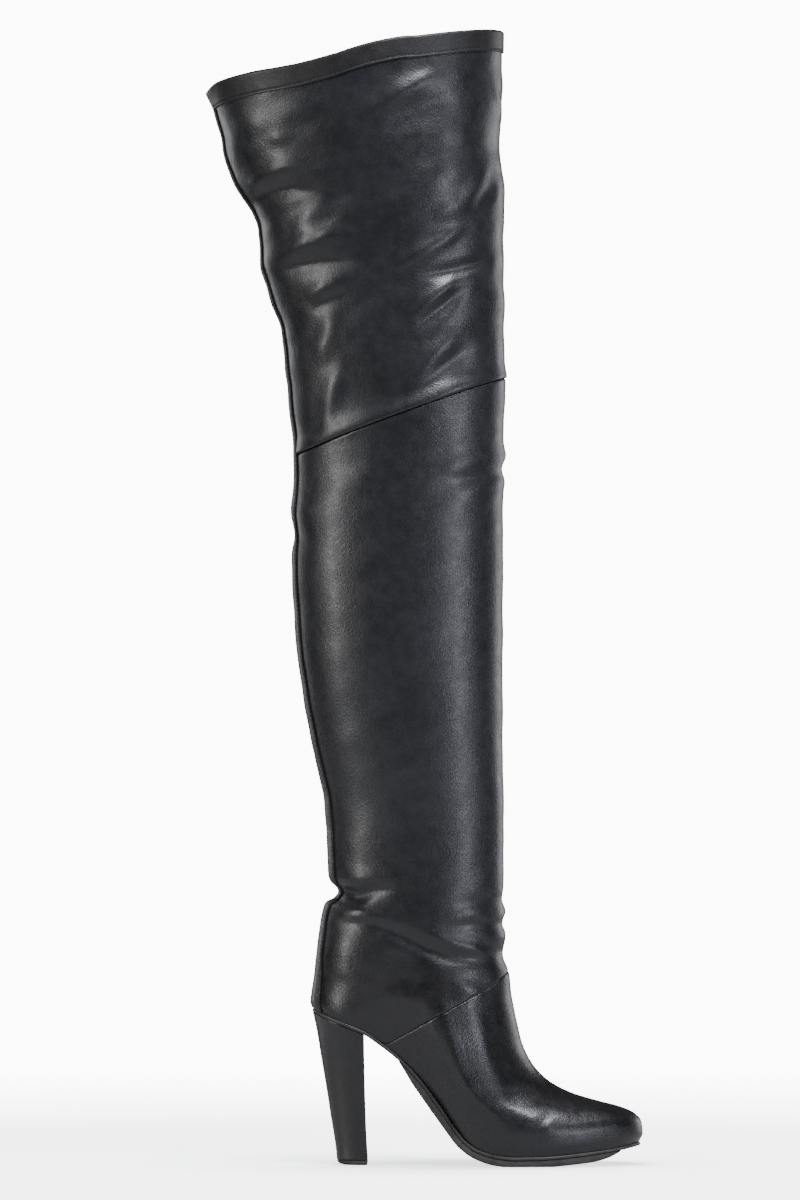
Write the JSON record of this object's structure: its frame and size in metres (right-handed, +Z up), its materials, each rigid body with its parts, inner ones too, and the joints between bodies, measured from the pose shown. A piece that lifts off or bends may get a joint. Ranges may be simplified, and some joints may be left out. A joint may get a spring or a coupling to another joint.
{
  "type": "thigh high boot",
  "caption": "Right thigh-high pull-on boot on a tall slim block heel, with hollow leather leg, folded top band, back strip and half sole.",
  "frame": {"origin": "middle of the heel tip's tread face, on the floor that the boot stands on", "axes": "+X from the heel to the toe, +Z up the leg, -Y to the outer side of the right leg"},
  "size_m": [0.2865, 0.1226, 0.7418],
  "materials": {
    "leather": "near-black smooth leather, semi-gloss, fine grain",
    "lining": "dark matt lining leather",
    "sole_leather": "dark waxed sole edge",
    "tread_rubber": "dark worn rubber"
  },
  "bodies": {
    "root": {"upper": "leather", "thigh_shaft": "leather", "top_band": "leather", "back_strip": "leather", "heel_block": "leather", "insole": "lining", "outsole": "sole_leather", "half_sole": "tread_rubber", "heel_tip": "tread_rubber"}
  },
  "joints": []
}
